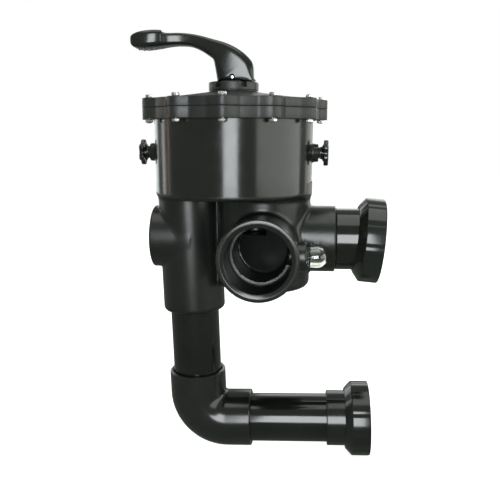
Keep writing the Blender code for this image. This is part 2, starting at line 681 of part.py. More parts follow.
def make_tailpiece(name, parent, start, face, radius, location, rotation):
    """Union end: a glue socket, a flange with the O-ring groove and a clear bore."""
    flange_r = radius + 5.6
    profile = [(PORT_SOCKET_R, start), (radius - 1, start), (radius, start + 1),
               (radius, face - UNION_FLANGE_T), (flange_r, face - UNION_FLANGE_T), (flange_r, face),
               (radius + 1.3, face), (radius + 1.3, face - 2.6), (radius - 2.5, face - 2.6),
               (radius - 2.5, face), (PIPE_BORE_R, face), (PIPE_BORE_R, start + 26),
               (PORT_SOCKET_R, start + 26)]
    solid(name, turned(profile), "moulded_black", parent, location, rotation)
    major = radius - 0.6
    seat = (location[0] + face - 0.9, location[1], location[2])
    solid(name.replace("tailpiece", "union_oring"), torus(major, 1.45), "rubber", parent, seat,
          rotation)


def nut_bmesh(radius, tail_r):
    """Union nut with its back rim at height 0: cone, ribbed barrel, lip and threaded bore."""
    lip = 5.6
    bore = radius - 5.4
    barrel_end = NUT_CHAMFER + NUT_BARREL
    return turned([(tail_r + 1.3, 0), (tail_r + 3.2, 0), (radius, NUT_CHAMFER),
                   (radius, barrel_end - 2), (radius - 1.5, barrel_end), (bore, barrel_end),
                   (bore, lip), (tail_r + 1.3, lip)], 36)


def make_unions(assembly, drop):
    # upper nipple, tailpiece and loose nut
    nipple = ring(PIPE_BORE_R, PIPE_R, UPPER_PORT_END_X - 37, UPPER_PORT_END_X + 25.5)
    solid("upper_nipple", nipple, "pipe_black", assembly, (0, 0, PORT_Z), along_x())
    make_tailpiece("upper_tailpiece", assembly, UPPER_PORT_END_X + GAP, UPPER_FACE_X, UPPER_TAIL_R,
                   (0, 0, PORT_Z), along_x())
    lip_middle = 3.0
    upper_axis = empty("upper_nut_axis", (UPPER_NUT_X + lip_middle, 0, PORT_Z), assembly,
                       along_x(UPPER_NUT_TILT))
    solid("upper_nut", nut_bmesh(UPPER_NUT_R, UPPER_TAIL_R), "moulded_black", upper_axis,
          (0, 0, -lip_middle))

    # drop leg, elbow, cross pipe and lower union
    top = -COLUMN_LENGTH + COLUMN_SOCKET_DEPTH - GAP
    bottom = -CROSS_DROP + ELBOW_BEND_R + 0.8
    solid("down_pipe", ring(PIPE_BORE_R, PIPE_R, bottom, top), "pipe_black", drop)
    make_elbow(drop)
    cross = ring(PIPE_BORE_R, PIPE_R, ELBOW_BEND_R + 0.8, LOWER_TAIL_START + 25.7)
    level = (0, 0, -CROSS_DROP)
    solid("cross_pipe", cross, "pipe_black", drop, level, along_x())
    make_tailpiece("lower_tailpiece", drop, LOWER_TAIL_START, LOWER_FACE, LOWER_TAIL_R, level,
                   along_x())
    lower_axis = empty("lower_nut_axis", (LOWER_NUT_START, 0, -CROSS_DROP), drop, along_x())
    solid("lower_nut", nut_bmesh(LOWER_NUT_R, LOWER_TAIL_R), "moulded_black", lower_axis)


def make_elbow(drop):
    """Right-angle elbow with a glue socket at each end."""
    corner = ELBOW_BEND_R
    stations = [((0, -ELBOW_TOP_DROP), 0.0, ELBOW_R - 1.5, PORT_SOCKET_R + 1.2),
                ((0, -ELBOW_TOP_DROP - 1.5), 0.0, ELBOW_R, PORT_SOCKET_R)]
    start = -CROSS_DROP + corner
    stations += [((0, start + 0.5), 0.0, ELBOW_R, PORT_SOCKET_R),
                 ((0, start), 0.0, ELBOW_R, PIPE_BORE_R)]
    steps = 6
    for k in range(1, steps):
        angle = math.pi / 2 * k / steps
        center = (corner - corner * math.cos(angle), start - corner * math.sin(angle))
        stations.append((center, angle, ELBOW_R, PIPE_BORE_R))
    level = -CROSS_DROP
    stations += [((corner, level), math.pi / 2, ELBOW_R, PIPE_BORE_R),
                 ((corner + 0.5, level), math.pi / 2, ELBOW_R, PORT_SOCKET_R),
                 ((ELBOW_END - 1.5, level), math.pi / 2, ELBOW_R, PORT_SOCKET_R),
                 ((ELBOW_END, level), math.pi / 2, ELBOW_R - 1.5, PORT_SOCKET_R + 1.2)]
    solid("elbow", swept_tube(stations), "moulded_black", drop)


# ---------------------------------------------------------------- assembly

def build():
    clear_scene()
    assembly = empty("assembly", (-UPPER_FACE_X, 0, -PORT_Z))
    drop = empty("drop_frame", (DROP_PIVOT_X, 0, BODY_BOTTOM), assembly, (0, -DROP_LEAN, 0))
    stem = empty("stem_axis", (0, 0, 0), assembly)
    pin_frame = empty("pin_axis", (0, 0, PIN_Z), stem)
    holes = bolt_hole_guides(assembly, "cut_bolt_hole")
    make_body(assembly, drop, holes)
    make_lid(assembly, holes)
    make_seals(assembly)
    make_rotor(stem)
    make_spring(stem)
    solid("slip_washer", ring(STEM_BORE_R, WASHER_R, WASHER_TOP - 4, WASHER_TOP),
          "washer_black", stem)
    make_handle(pin_frame)
    make_fasteners(assembly)
    make_gauge_plugs(assembly)
    make_sight_glass(assembly)
    make_unions(assembly, drop)


build()
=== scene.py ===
"""Looks of a side-mount multiport valve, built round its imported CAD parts.

The valve's own frame has its stem on Z and the joint between body and lid at Z = 0, with +X
towards the filter and -Y out of the front port. Sizes are in millimetres in that frame, and
every piece is placed through it, so that only the frame's joints say where the valve is.
"""
import json
import math

import bmesh
import bpy
import numpy as np
from mathutils import Matrix, Vector


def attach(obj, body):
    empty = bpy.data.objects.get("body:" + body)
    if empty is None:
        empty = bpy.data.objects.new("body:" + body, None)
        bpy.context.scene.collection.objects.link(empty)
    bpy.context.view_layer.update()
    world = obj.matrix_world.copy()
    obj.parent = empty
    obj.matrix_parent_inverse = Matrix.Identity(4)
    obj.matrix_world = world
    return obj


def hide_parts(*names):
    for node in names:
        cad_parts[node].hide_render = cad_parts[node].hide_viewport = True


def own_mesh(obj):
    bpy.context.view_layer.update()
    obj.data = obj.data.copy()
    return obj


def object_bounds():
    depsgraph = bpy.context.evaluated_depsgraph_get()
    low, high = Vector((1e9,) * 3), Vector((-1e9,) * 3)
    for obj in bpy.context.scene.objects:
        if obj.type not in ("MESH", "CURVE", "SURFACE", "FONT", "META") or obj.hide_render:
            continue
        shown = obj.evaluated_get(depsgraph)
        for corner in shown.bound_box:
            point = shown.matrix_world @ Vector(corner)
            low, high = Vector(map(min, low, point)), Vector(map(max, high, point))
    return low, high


MM = 0.001
TAU = math.tau

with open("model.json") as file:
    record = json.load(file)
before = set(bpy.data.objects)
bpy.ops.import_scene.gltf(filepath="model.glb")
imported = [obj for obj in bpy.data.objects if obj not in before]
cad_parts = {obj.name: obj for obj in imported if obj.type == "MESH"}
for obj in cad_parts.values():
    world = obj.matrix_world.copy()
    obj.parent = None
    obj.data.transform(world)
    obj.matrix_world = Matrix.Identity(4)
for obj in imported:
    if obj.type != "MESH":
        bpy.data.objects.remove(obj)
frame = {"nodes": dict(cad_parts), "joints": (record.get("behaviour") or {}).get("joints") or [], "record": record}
CAD_BOX = [list(corner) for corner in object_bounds()]
JOINTS = {joint["name"]: joint for joint in frame["joints"]}


# ---------------------------------------------------------------- frames

def joint_place(name):
    return Vector(JOINTS[name]["pos_m"])


def facing(name):
    """Matrix with its Z along a joint's axis, its Y level and its origin on the joint."""
    axis = Vector(JOINTS[name]["axis"]).normalized()
    across = Vector((0.0, 1.0, 0.0))
    turn = Matrix((across.cross(axis), across, axis)).transposed()
    return Matrix.Translation(joint_place(name)) @ turn.to_4x4()


def shift(x=0.0, y=0.0, z=0.0):
    return Matrix.Translation(Vector((x, y, z)) * MM)


VALVE = Matrix.Translation(joint_place("turn"))
ALONG_X = Matrix.Rotation(math.pi / 2, 4, "Y")
ALONG_MINUS_X = Matrix.Rotation(-math.pi / 2, 4, "Y")
ALONG_MINUS_Y = Matrix.Rotation(math.pi / 2, 4, "X")
ALONG_Y = Matrix.Rotation(-math.pi / 2, 4, "X")
DROP_LEAN = math.asin(JOINTS["lower_nut_spin"]["axis"][2])
DROP_PIVOT = (-57.3, 0.0, -106.0)
DROP = VALVE @ shift(*DROP_PIVOT) @ Matrix.Rotation(-DROP_LEAN, 4, "Y")

# driving sizes, in millimetres
BODY_R = 98.1
BODY_TOP_R = 98.5
BODY_BOTTOM = -106.0
CAVITY_R = 86.0
CAVITY_FLOOR = -92.0
FLANGE_R = 107.5
LOBE_HEIGHT = 8.3
LOBE_HALF_ANGLE = math.radians(9.5)
BODY_FLANGE_T = 13.0
LID_FLANGE_T = 10.8
BOLT_COUNT = 12
BOLT_CIRCLE_R = 107.8
COLLAR_R = 30.8
COLLAR_TOP = 32.2
WASHER_TOP = 32.0
HUB_BOTTOM = 32.6
HEX_ACROSS_FLATS = 8.0
PORT_Z = -160.9
FRONT_PORT_X = 40.6
FRONT_PORT_Z = -166.4
CHAMBER_X = 38.5
CHAMBER_R = 59.0
CHAMBER_BOTTOM = -222.0
PORT_R = 41.9
LEFT_PORT_R = 39.5
SOCKET_R = 31.8
BORE_R = 28.0
PIPE_R = 31.5
COLUMN_R = 40.0
COLUMN_LENGTH = 150.5
UPPER_PORT_END = 129.3
LEFT_PORT_END = -102.5
FRONT_END = 132.0
FRONT_NECK_R = 43.6
FRONT_RIM_R = 45.9
FRONT_MOUTH_R = 36.6
FRONT_STEP = 88.0
SIDE_RISER_BOTTOM = -151.0
GAUGE_Z = -53.0
SIGHT_Y = -92.0
SIGHT_Z = -167.5
SIGHT_BOSS_R = 17.2
SIGHT_BOSS_END = 93.5
UPPER_FACE = 174.2
UPPER_TAIL_R = 38.8
UPPER_NUT_R = 53.3
LOWER_FACE = 215.0
LOWER_TAIL_START = 171.5
LOWER_TAIL_R = 35.9
LOWER_NUT_R = 48.4
LOWER_NUT_START = 195.4
CROSS_DROP = 305.0
ELBOW_BEND_R = 39.5
ELBOW_R = 37.2
ELBOW_TOP = -235.0
ELBOW_SIDE_END = 71.3
PIN_Z = 37.6


# ---------------------------------------------------------------- materials

def new_material(name):
    material = bpy.data.materials.new(name)
    material.use_nodes = True
    return material, material.node_tree, material.node_tree.nodes["Principled BSDF"]


def noise(tree, scale, detail=4.0, roughness=0.55):
    coordinates = tree.nodes.new("ShaderNodeTexCoord")
    texture = tree.nodes.new("ShaderNodeTexNoise")
    texture.inputs["Scale"].default_value = scale
    texture.inputs["Detail"].default_value = detail
    texture.inputs["Roughness"].default_value = roughness
    tree.links.new(coordinates.outputs["Object"], texture.inputs["Vector"])
    return texture.outputs["Fac"]


def ramp(tree, value, low, high, start=0.3, stop=0.7):
    """Map a noise value to a range."""
    node = tree.nodes.new("ShaderNodeMapRange")
    node.inputs["From Min"].default_value = start
    node.inputs["From Max"].default_value = stop
    node.inputs["To Min"].default_value = low
    node.inputs["To Max"].default_value = high
    tree.links.new(value, node.inputs["Value"])
    return node.outputs["Result"]


def mixed_color(tree, value, first, second):
    node = tree.nodes.new("ShaderNodeMix")
    node.data_type = "RGBA"
    node.inputs["A"].default_value = (*first, 1.0)
    node.inputs["B"].default_value = (*second, 1.0)
    tree.links.new(value, node.inputs["Factor"])
    return node.outputs["Result"]


def add_bump(tree, shader, heights, strength=1.0):
    """Stack (height socket, depth in metres) bumps on a shader's normal."""
    normal = None
    for height, depth in heights:
        bump = tree.nodes.new("ShaderNodeBump")
        bump.inputs["Strength"].default_value = strength
        bump.inputs["Distance"].default_value = depth
        tree.links.new(height, bump.inputs["Height"])
        if normal is not None:
            tree.links.new(normal, bump.inputs["Normal"])
        normal = bump.outputs["Normal"]
    tree.links.new(normal, shader.inputs["Normal"])


def plastic(name, dark, light, rough, waviness=0.00010, grain=0.0):
    """Black moulded plastic: flow marks in the colour, handled patches, slight sink and grain."""
    material, tree, shader = new_material(name)
    cloud = noise(tree, 14.0, 5.0)
    tree.links.new(mixed_color(tree, ramp(tree, cloud, 0.0, 1.0), dark, light),
                   shader.inputs["Base Color"])
    patches = noise(tree, 32.0, 6.0, 0.65)
    tree.links.new(ramp(tree, patches, rough[0], rough[1]), shader.inputs["Roughness"])
    heights = [(noise(tree, 26.0, 1.0), waviness)]
    if grain > 0.0:
        heights.append((noise(tree, 1500.0, 2.0), grain))
    add_bump(tree, shader, heights)
    return material


def steel():
    material, tree, shader = new_material("bright_steel")
    shader.inputs["Metallic"].default_value = 1.0
    cloud = noise(tree, 300.0, 3.0)
    tree.links.new(mixed_color(tree, cloud, (0.60, 0.60, 0.58), (0.80, 0.80, 0.78)),
                   shader.inputs["Base Color"])
    tree.links.new(ramp(tree, noise(tree, 700.0, 3.0), 0.16, 0.34), shader.inputs["Roughness"])
    add_bump(tree, shader, [(noise(tree, 900.0, 2.0), 0.00002)])
    return material


def clear_plastic():
    material, tree, shader = new_material("clear_dome")
    shader.inputs["Transmission Weight"].default_value = 1.0
    shader.inputs["IOR"].default_value = 1.49
    tree.links.new(mixed_color(tree, noise(tree, 60.0), (0.72, 0.76, 0.71), (0.80, 0.83, 0.78)),
                   shader.inputs["Base Color"])
    tree.links.new(ramp(tree, noise(tree, 90.0), 0.02, 0.09), shader.inputs["Roughness"])
    return material


GLOSS = plastic("moulded_black", (0.0045, 0.0055, 0.0045), (0.0085, 0.0098, 0.0085), (0.13, 0.21))
PIPE = plastic("pipe_black", (0.0035, 0.0040, 0.0035), (0.0060, 0.0066, 0.0060), (0.09, 0.16),
               waviness=0.00005)
MATT_BODY = plastic("moulded_matt", (0.0040, 0.0048, 0.0040), (0.0070, 0.0082, 0.0070), (0.26, 0.34))
SATIN = plastic("satin_black", (0.008, 0.009, 0.0085), (0.015, 0.016, 0.015), (0.34, 0.48),
                grain=0.00006)
GREY = plastic("rotor_grey", (0.27, 0.28, 0.28), (0.34, 0.35, 0.35), (0.35, 0.5), grain=0.00003)
WASHER = plastic("washer_black", (0.010, 0.010, 0.010), (0.018, 0.018, 0.018), (0.40, 0.55))
RUBBER = plastic("rubber", (0.013, 0.013, 0.013), (0.024, 0.024, 0.024), (0.6, 0.8), grain=0.00002)
STEEL = steel()
CLEAR = clear_plastic()
SLOTS = {"moulded_black": GLOSS, "pipe_black": PIPE, "satin_black": SATIN, "rotor_grey": GREY,
         "washer_black": WASHER, "rubber": RUBBER, "bright_steel": STEEL, "clear_dome": CLEAR}


# ---------------------------------------------------------------- shapes in millimetres

def smooth_mesh(mesh, crease=32.0):
    mesh.shade_smooth()
    mesh.set_sharp_from_angle(angle=math.radians(crease))


def mesh_object(name, bm, place, crease=32.0):
    """A bmesh in millimetres, put in place in the row frame, as an object at the origin."""
    bmesh.ops.recalc_face_normals(bm, faces=bm.faces)
    bm.transform(place @ Matrix.Scale(MM, 4))
    mesh = bpy.data.meshes.new(name)
    bm.to_mesh(mesh)
    bm.free()
    smooth_mesh(mesh, crease)
    obj = bpy.data.objects.new(name, mesh)
    bpy.context.scene.collection.objects.link(obj)
    return obj


def baked(obj):
    """Apply an object's modifiers to its mesh."""
    bpy.context.view_layer.update()
    evaluated = obj.evaluated_get(bpy.context.evaluated_depsgraph_get())
    mesh = bpy.data.meshes.new_from_object(evaluated)
    obj.modifiers.clear()
    obj.data = mesh
    return obj


def boolean(obj, operation, tools):
    """Join or cut with each tool, which is then removed."""
    for tool in tools:
        modifier = obj.modifiers.new(operation.lower(), "BOOLEAN")
        modifier.operation = operation
        modifier.solver = "EXACT"
        modifier.object = tool
    baked(obj)
    for tool in tools:
        bpy.data.objects.remove(tool, do_unlink=True)
    smooth_mesh(obj.data)
    return obj


def bevelled(obj, width, segments=3, angle=35.0):
    """Round the edges of an object by that many millimetres."""
    modifier = obj.modifiers.new("bevel", "BEVEL")
    modifier.width = width * MM
    modifier.segments = segments
    modifier.limit_method = "ANGLE"
    modifier.angle_limit = math.radians(angle)
    modifier.miter_outer = "MITER_ARC"
    baked(obj)
    smooth_mesh(obj.data, 40.0)
    return obj


def joined(name, objects):
    """One object from several meshes."""
    bm = bmesh.new()
    for obj in objects:
        bm.from_mesh(obj.data)
    mesh = bpy.data.meshes.new(name)
    bm.to_mesh(mesh)
    bm.free()
    for obj in objects:
        bpy.data.objects.remove(obj, do_unlink=True)
    smooth_mesh(mesh, 36.0)
    result = bpy.data.objects.new(name, mesh)
    bpy.context.scene.collection.objects.link(result)
    return result


def finish_piece(obj, body, slot, *nodes):
    """Give a piece its material, body and CAD nodes."""
    obj.data.materials.clear()
    obj.data.materials.append(SLOTS[slot])
    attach(obj, body)
    if nodes:
        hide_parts(*nodes)
    return obj


def rounded(corners, steps=5):
    """Closed outline from (x, y, fillet) corners, each turned into a small curve."""
    outline = []
    for k, (x, y, fillet) in enumerate(corners):
        here = Vector((x, y))
        before = Vector(corners[k - 1][:2]) - here
        after = Vector(corners[(k + 1) % len(corners)][:2]) - here
        reach = min(fillet, 0.48 * before.length, 0.48 * after.length)
        if reach < 0.02:
            outline.append((x, y))
            continue
        start = here + before.normalized() * reach
        end = here + after.normalized() * reach
        for j in range(steps + 1):
            t = j / steps
            point = start * (1 - t) ** 2 + here * (2 * t * (1 - t)) + end * t ** 2
            outline.append((max(point.x, 0.0), point.y))
    return outline


def lathe(profile, sides=128, wave=None):
    """Spin a closed (radius, height) outline about Z; wave(angle, radius, height) changes a radius."""
    bm = bmesh.new()
    rings = []
    for radius, height in profile:
        if radius < 1e-6:
            rings.append([bm.verts.new((0, 0, height))])
            continue
        points = []
        for k in range(sides):
            angle = TAU * k / sides
            r = radius if wave is None else wave(angle, radius, height)
            points.append(bm.verts.new((r * math.cos(angle), r * math.sin(angle), height)))
        rings.append(points)
    for first, second in zip(rings, rings[1:] + rings[:1]):
        if len(first) == 1 and len(second) == 1:
            continue
        for k in range(sides):
            corners = (first[k % len(first)], first[(k + 1) % len(first)],
                       second[(k + 1) % len(second)], second[k % len(second)])
            bm.faces.new(list(dict.fromkeys(corners)))
    return bm


def torus(major, minor, sides=96, around=14):
    return lathe([(major + minor * math.cos(TAU * k / around), minor * math.sin(TAU * k / around))
                  for k in range(around)], sides)


def extruded(outline, bottom, top):
    bm = bmesh.new()
    face = bm.faces.new([bm.verts.new((x, y, bottom)) for x, y in outline])
    lifted = bmesh.ops.extrude_face_region(bm, geom=[face])
    raised = [item for item in lifted["geom"] if isinstance(item, bmesh.types.BMVert)]
    bmesh.ops.translate(bm, vec=(0, 0, top - bottom), verts=raised)
    return bm


def box(low, high):
    bm = extruded([(low[0], low[1]), (high[0], low[1]), (high[0], high[1]), (low[0], high[1])],
                  low[2], high[2])
    return bm


def arc(center, radius, start, stop, count):
    return [(center[0] + radius * math.cos(start + (stop - start) * k / (count - 1)),
             center[1] + radius * math.sin(start + (stop - start) * k / (count - 1)))
            for k in range(count)]


def scalloped_outline(per_lobe=24, between=10):
    """Flange outline: a circle that swells into one soft lobe for each bolt."""
    points = []
    for k in range(BOLT_COUNT):
        middle = TAU * k / BOLT_COUNT
        for j in range(per_lobe + 1):
            along = 2 * j / per_lobe - 1
            swell = ((1 + math.cos(math.pi * along)) / 2) ** 0.7
            radius = FLANGE_R + LOBE_HEIGHT * swell
            angle = middle + LOBE_HALF_ANGLE * along
            points.append((radius * math.cos(angle), radius * math.sin(angle)))
        points += arc((0, 0), FLANGE_R, middle + LOBE_HALF_ANGLE,
                      middle + TAU / BOLT_COUNT - LOBE_HALF_ANGLE, between)[1:-1]
    return points


# ---------------------------------------------------------------- solids as distances, for the body

def smooth_min(a, b, reach):
    """Union of two distances with a fillet."""
    blend = np.clip(0.5 + 0.5 * (b - a) / reach, 0.0, 1.0)
    return b * (1 - blend) + a * blend - reach * blend * (1 - blend)


def smooth_max(a, b, reach):
    return -smooth_min(-a, -b, reach)


def cylinder_distance(radial, along, radius, low, high, edge):
    """Distance to a capped cylinder whose ends have rounded edges."""
    side = radial - (radius - edge)
    middle = (low + high) / 2
    end = np.abs(along - middle) - ((high - low) / 2 - edge)
    outside = np.hypot(np.maximum(side, 0), np.maximum(end, 0))
    return outside + np.minimum(np.maximum(side, end), 0) - edge


def drop_coordinates(x, z):
    """Coordinates in the drop leg's frame."""
    dx = x - DROP_PIVOT[0]
    dz = z - DROP_PIVOT[2]
    cosine = math.cos(DROP_LEAN)
    sine = math.sin(DROP_LEAN)
    return dx * cosine + dz * sine, -dx * sine + dz * cosine


def body_solid(x, y, z):
    """Outside of the ports, chamber and column, with the fillets of the moulding."""
    dx, dz = drop_coordinates(x, z)
    foot = cylinder_distance(np.hypot(x, y), z, BODY_R, BODY_BOTTOM, -60, 4.0)
    chamber = cylinder_distance(np.hypot(x - CHAMBER_X, y), z, CHAMBER_R, CHAMBER_BOTTOM, -80, 8.0)
    column = cylinder_distance(np.hypot(dx, y), dz, COLUMN_R, -COLUMN_LENGTH, 20, 5.5)
    upper = cylinder_distance(np.hypot(y, z - PORT_Z), x, PORT_R, CHAMBER_X, UPPER_PORT_END, 1.4)
    left = cylinder_distance(np.hypot(y, z - PORT_Z), x, LEFT_PORT_R, LEFT_PORT_END, -50, 1.6)
    neck_r = np.hypot(x - FRONT_PORT_X, z - FRONT_PORT_Z)
    neck = cylinder_distance(neck_r, y, FRONT_NECK_R, 5 - FRONT_END, FRONT_END - 5, 1.0)
    sight = cylinder_distance(np.hypot(y - SIGHT_Y, z - SIGHT_Z), x, SIGHT_BOSS_R, 60,
                              SIGHT_BOSS_END, 1.2)
    solid = smooth_min(chamber, upper, 5.0)
    solid = smooth_min(solid, neck, 5.0)
    solid = smooth_min(solid, column, 5.0)
    solid = smooth_min(solid, left, 2.0)
    solid = smooth_min(solid, foot, 6.0)
    return smooth_min(solid, sight, 1.5)


def body_hollow(x, y, z):
    """Everything that is open inside: cavity, risers, ducts, sockets and port mouths."""
    dx, dz = drop_coordinates(x, z)
    cavity = cylinder_distance(np.hypot(x, y), z, CAVITY_R, CAVITY_FLOOR, 0, 1.0)
    upper_riser = cylinder_distance(np.hypot(x - 58, y), z, 19.0, PORT_Z, -80, 0.5)
    side_riser = cylinder_distance(np.hypot(x - 30, np.abs(y) - 32), z, 18.0, SIDE_RISER_BOTTOM, -80,
                                   0.5)
    duct_r = np.hypot(dx, y)
    duct = cylinder_distance(duct_r, dz, 30.6, -COLUMN_LENGTH + 37, 20, 0.5)
    wall = 3.0 - np.abs(dx)
    duct = smooth_max(duct, wall, 0.8)
    duct = np.maximum(duct, np.where(dx < 0, -92.0 - dz, -1e3))
    socket = cylinder_distance(duct_r, dz, SOCKET_R, -COLUMN_LENGTH - 9, -COLUMN_LENGTH + 38, 0.5)
    axis_r = np.hypot(y, z - PORT_Z)
    upper = cylinder_distance(axis_r, x, 28.5, 52, UPPER_PORT_END, 0.5)
    upper_socket = cylinder_distance(axis_r, x, SOCKET_R, UPPER_PORT_END - 38, UPPER_PORT_END + 9, 0.5)
    left = cylinder_distance(np.hypot(y, z - PORT_Z - 2), x, SOCKET_R, -112, -70, 0.5)
    neck_r = np.hypot(x - FRONT_PORT_X, z - FRONT_PORT_Z)
    depth = np.abs(y)
    bore = cylinder_distance(neck_r, depth, SOCKET_R, 33, FRONT_STEP + 4, 0.5)
    bore = smooth_max(bore, 33.0 + 0.32 * (x - FRONT_PORT_X + SOCKET_R) - depth, 2.0)
    mouth = cylinder_distance(neck_r, depth, FRONT_MOUTH_R + 2.4, FRONT_STEP + 2, FRONT_END + 9, 0.5)
    sight = cylinder_distance(np.hypot(y - SIGHT_Y, z - SIGHT_Z), x, 10.2, 62, SIGHT_BOSS_END + 9, 0.5)
    hollow = cavity
    for cut in (upper_riser, side_riser, duct, socket, upper, upper_socket, left, bore, mouth, sight):
        hollow = np.minimum(hollow, cut)
    return hollow


def body_distance(points):
    x, y, z = points[:, 0], points[:, 1], points[:, 2]
    return smooth_max(body_solid(x, y, z), -body_hollow(x, y, z), 1.0)


def surface_nets(distance, low, high, cell):
    """Mesh of the zero level of a distance function: one vertex in each cell that it crosses."""
    counts = [int(math.ceil((high[k] - low[k]) / cell)) + 1 for k in range(3)]
    axes = [low[k] + cell * np.arange(counts[k]) for k in range(3)]
    values = np.empty(counts, np.float32)
    for i, x in enumerate(axes[0]):
        yy, zz = np.meshgrid(axes[1], axes[2], indexing="ij")
        points = np.stack([np.full(yy.size, x), yy.ravel(), zz.ravel()], axis=1)
        values[i] = distance(points).reshape(yy.shape)
    inside = values < 0
    corners = [(a, b, c) for a in (0, 1) for b in (0, 1) for c in (0, 1)]
    span = [n - 1 for n in counts]

    def part(array, corner):
        a, b, c = corner
        return array[a:a + span[0], b:b + span[1], c:c + span[2]]

    total = sum(part(inside, corner).astype(np.int8) for corner in corners)
    crossed = (total > 0) & (total < 8)
    index = np.full(span, -1, np.int64)
    index[crossed] = np.arange(int(crossed.sum()))
    sums = np.zeros((int(crossed.sum()), 3))
    hits = np.zeros(int(crossed.sum()))
    for first in corners:
        for axis in range(3):
            if first[axis]:
                continue
            second = tuple(v + (k == axis) for k, v in enumerate(first))
            a = part(values, first)[crossed]
            b = part(values, second)[crossed]
            cut = (a < 0) != (b < 0)
            share = np.where(cut, a / np.where(cut, a - b, 1.0), 0.0)
            place = np.tile(np.array(first, float), (len(a), 1))
            place[:, axis] += share
            sums[cut] += place[cut]
            hits[cut] += 1
    cells = np.argwhere(crossed)
    points = np.array(low) + cell * (cells + sums / hits[:, None])
    quads = []
    for axis in range(3):
        u, v = (axis + 1) % 3, (axis + 2) % 3
        lower = [slice(None)] * 3
        upper = [slice(None)] * 3
        lower[axis] = slice(0, counts[axis] - 1)
        upper[axis] = slice(1, counts[axis])
        a = inside[tuple(lower)]
        b = inside[tuple(upper)]
        edges = np.argwhere(a != b)
        edges = edges[(edges[:, u] > 0) & (edges[:, v] > 0)
                      & (edges[:, u] < span[u]) & (edges[:, v] < span[v])]
        flip = b[tuple(edges.T)]
        ring = []
        for du, dv in ((-1, -1), (0, -1), (0, 0), (-1, 0)):
            cell_of = edges.copy()
            cell_of[:, u] += du
            cell_of[:, v] += dv
            ring.append(index[tuple(cell_of.T)])
        ring = np.stack(ring, axis=1)
        ring[flip] = ring[flip][:, ::-1]
        quads.append(ring)
    return points, np.concatenate(quads)


def settled(distance, points, rounds=4):
    """Move points onto the zero level along the distance's gradient."""
    step = 0.05
    for _ in range(rounds):
        value = distance(points)
        gradient = np.empty_like(points)
        for axis in range(3):
            offset = np.zeros(3)
            offset[axis] = step
            gradient[:, axis] = (distance(points + offset) - distance(points - offset)) / (2 * step)
        length = np.maximum((gradient ** 2).sum(axis=1), 0.25)
        points = points - np.clip(value / length, -0.5, 0.5)[:, None] * gradient
    return points


def array_object(name, points, faces, place):
    mesh = bpy.data.meshes.new(name)
    mesh.from_pydata(points.tolist(), [], faces.tolist())
    mesh.transform(place @ Matrix.Scale(MM, 4))
    mesh.update()
    smooth_mesh(mesh, 50.0)
    obj = bpy.data.objects.new(name, mesh)
    bpy.context.scene.collection.objects.link(obj)
    return obj


# ---------------------------------------------------------------- body

def make_moulding():
    """Lower half of the body: chamber, ports and column in one filleted moulding."""
    cell = 1.5
    low = (LEFT_PORT_END - 4, -FRONT_END - 4, -262.0)
    high = (UPPER_PORT_END + 4, FRONT_END + 4, -89.0)
    points, faces = surface_nets(body_distance, low, high, cell)
    points = settled(body_distance, points)
    body = array_object("body_moulding", points, faces, VALVE)
    finish_piece(body, "valve", "moulded_black", "valve_body", "chamber_front", "chamber_back",
                 "chamber_left", "chamber_right", "front_neck", "back_neck", "drop_column")
    body.data.materials[0] = MATT_BODY
    return body


def make_mouths():
    """Rim, dished face, cone and step of the front and back ports."""
    outside = [(FRONT_MOUTH_R + 4.2, FRONT_STEP, 0), (FRONT_MOUTH_R + 4.2, FRONT_END - 12, 0),
               (FRONT_NECK_R, FRONT_END - 12, 0.5), (FRONT_RIM_R, FRONT_END - 10.5, 0.8),
               (FRONT_RIM_R, FRONT_END, 1.6), (FRONT_RIM_R - 4.6, FRONT_END, 0.6),
               (FRONT_MOUTH_R + 0.3, FRONT_END - 1.5, 0.9), (FRONT_MOUTH_R - 1.6, FRONT_STEP, 0.4),
               (SOCKET_R, FRONT_STEP, 0.7), (SOCKET_R, FRONT_STEP - 3, 0),
               (FRONT_MOUTH_R + 4.2, FRONT_STEP - 3, 0)]
    for side, turn in (("front", ALONG_MINUS_Y), ("back", ALONG_Y)):
        mouth = mesh_object(f"{side}_mouth", lathe(rounded(outside), 160),
                            VALVE @ shift(FRONT_PORT_X, 0, FRONT_PORT_Z) @ turn)
        if side == "front":
            hole = mesh_object("sight_hole", lathe([(0, 0), (10.2, 0), (10.2, 40), (0, 40)], 48),
                               VALVE @ shift(62, SIGHT_Y, SIGHT_Z) @ ALONG_X)
            boolean(mouth, "DIFFERENCE", [hole])
        finish_piece(mouth, "valve", "moulded_black", f"{side}_neck")


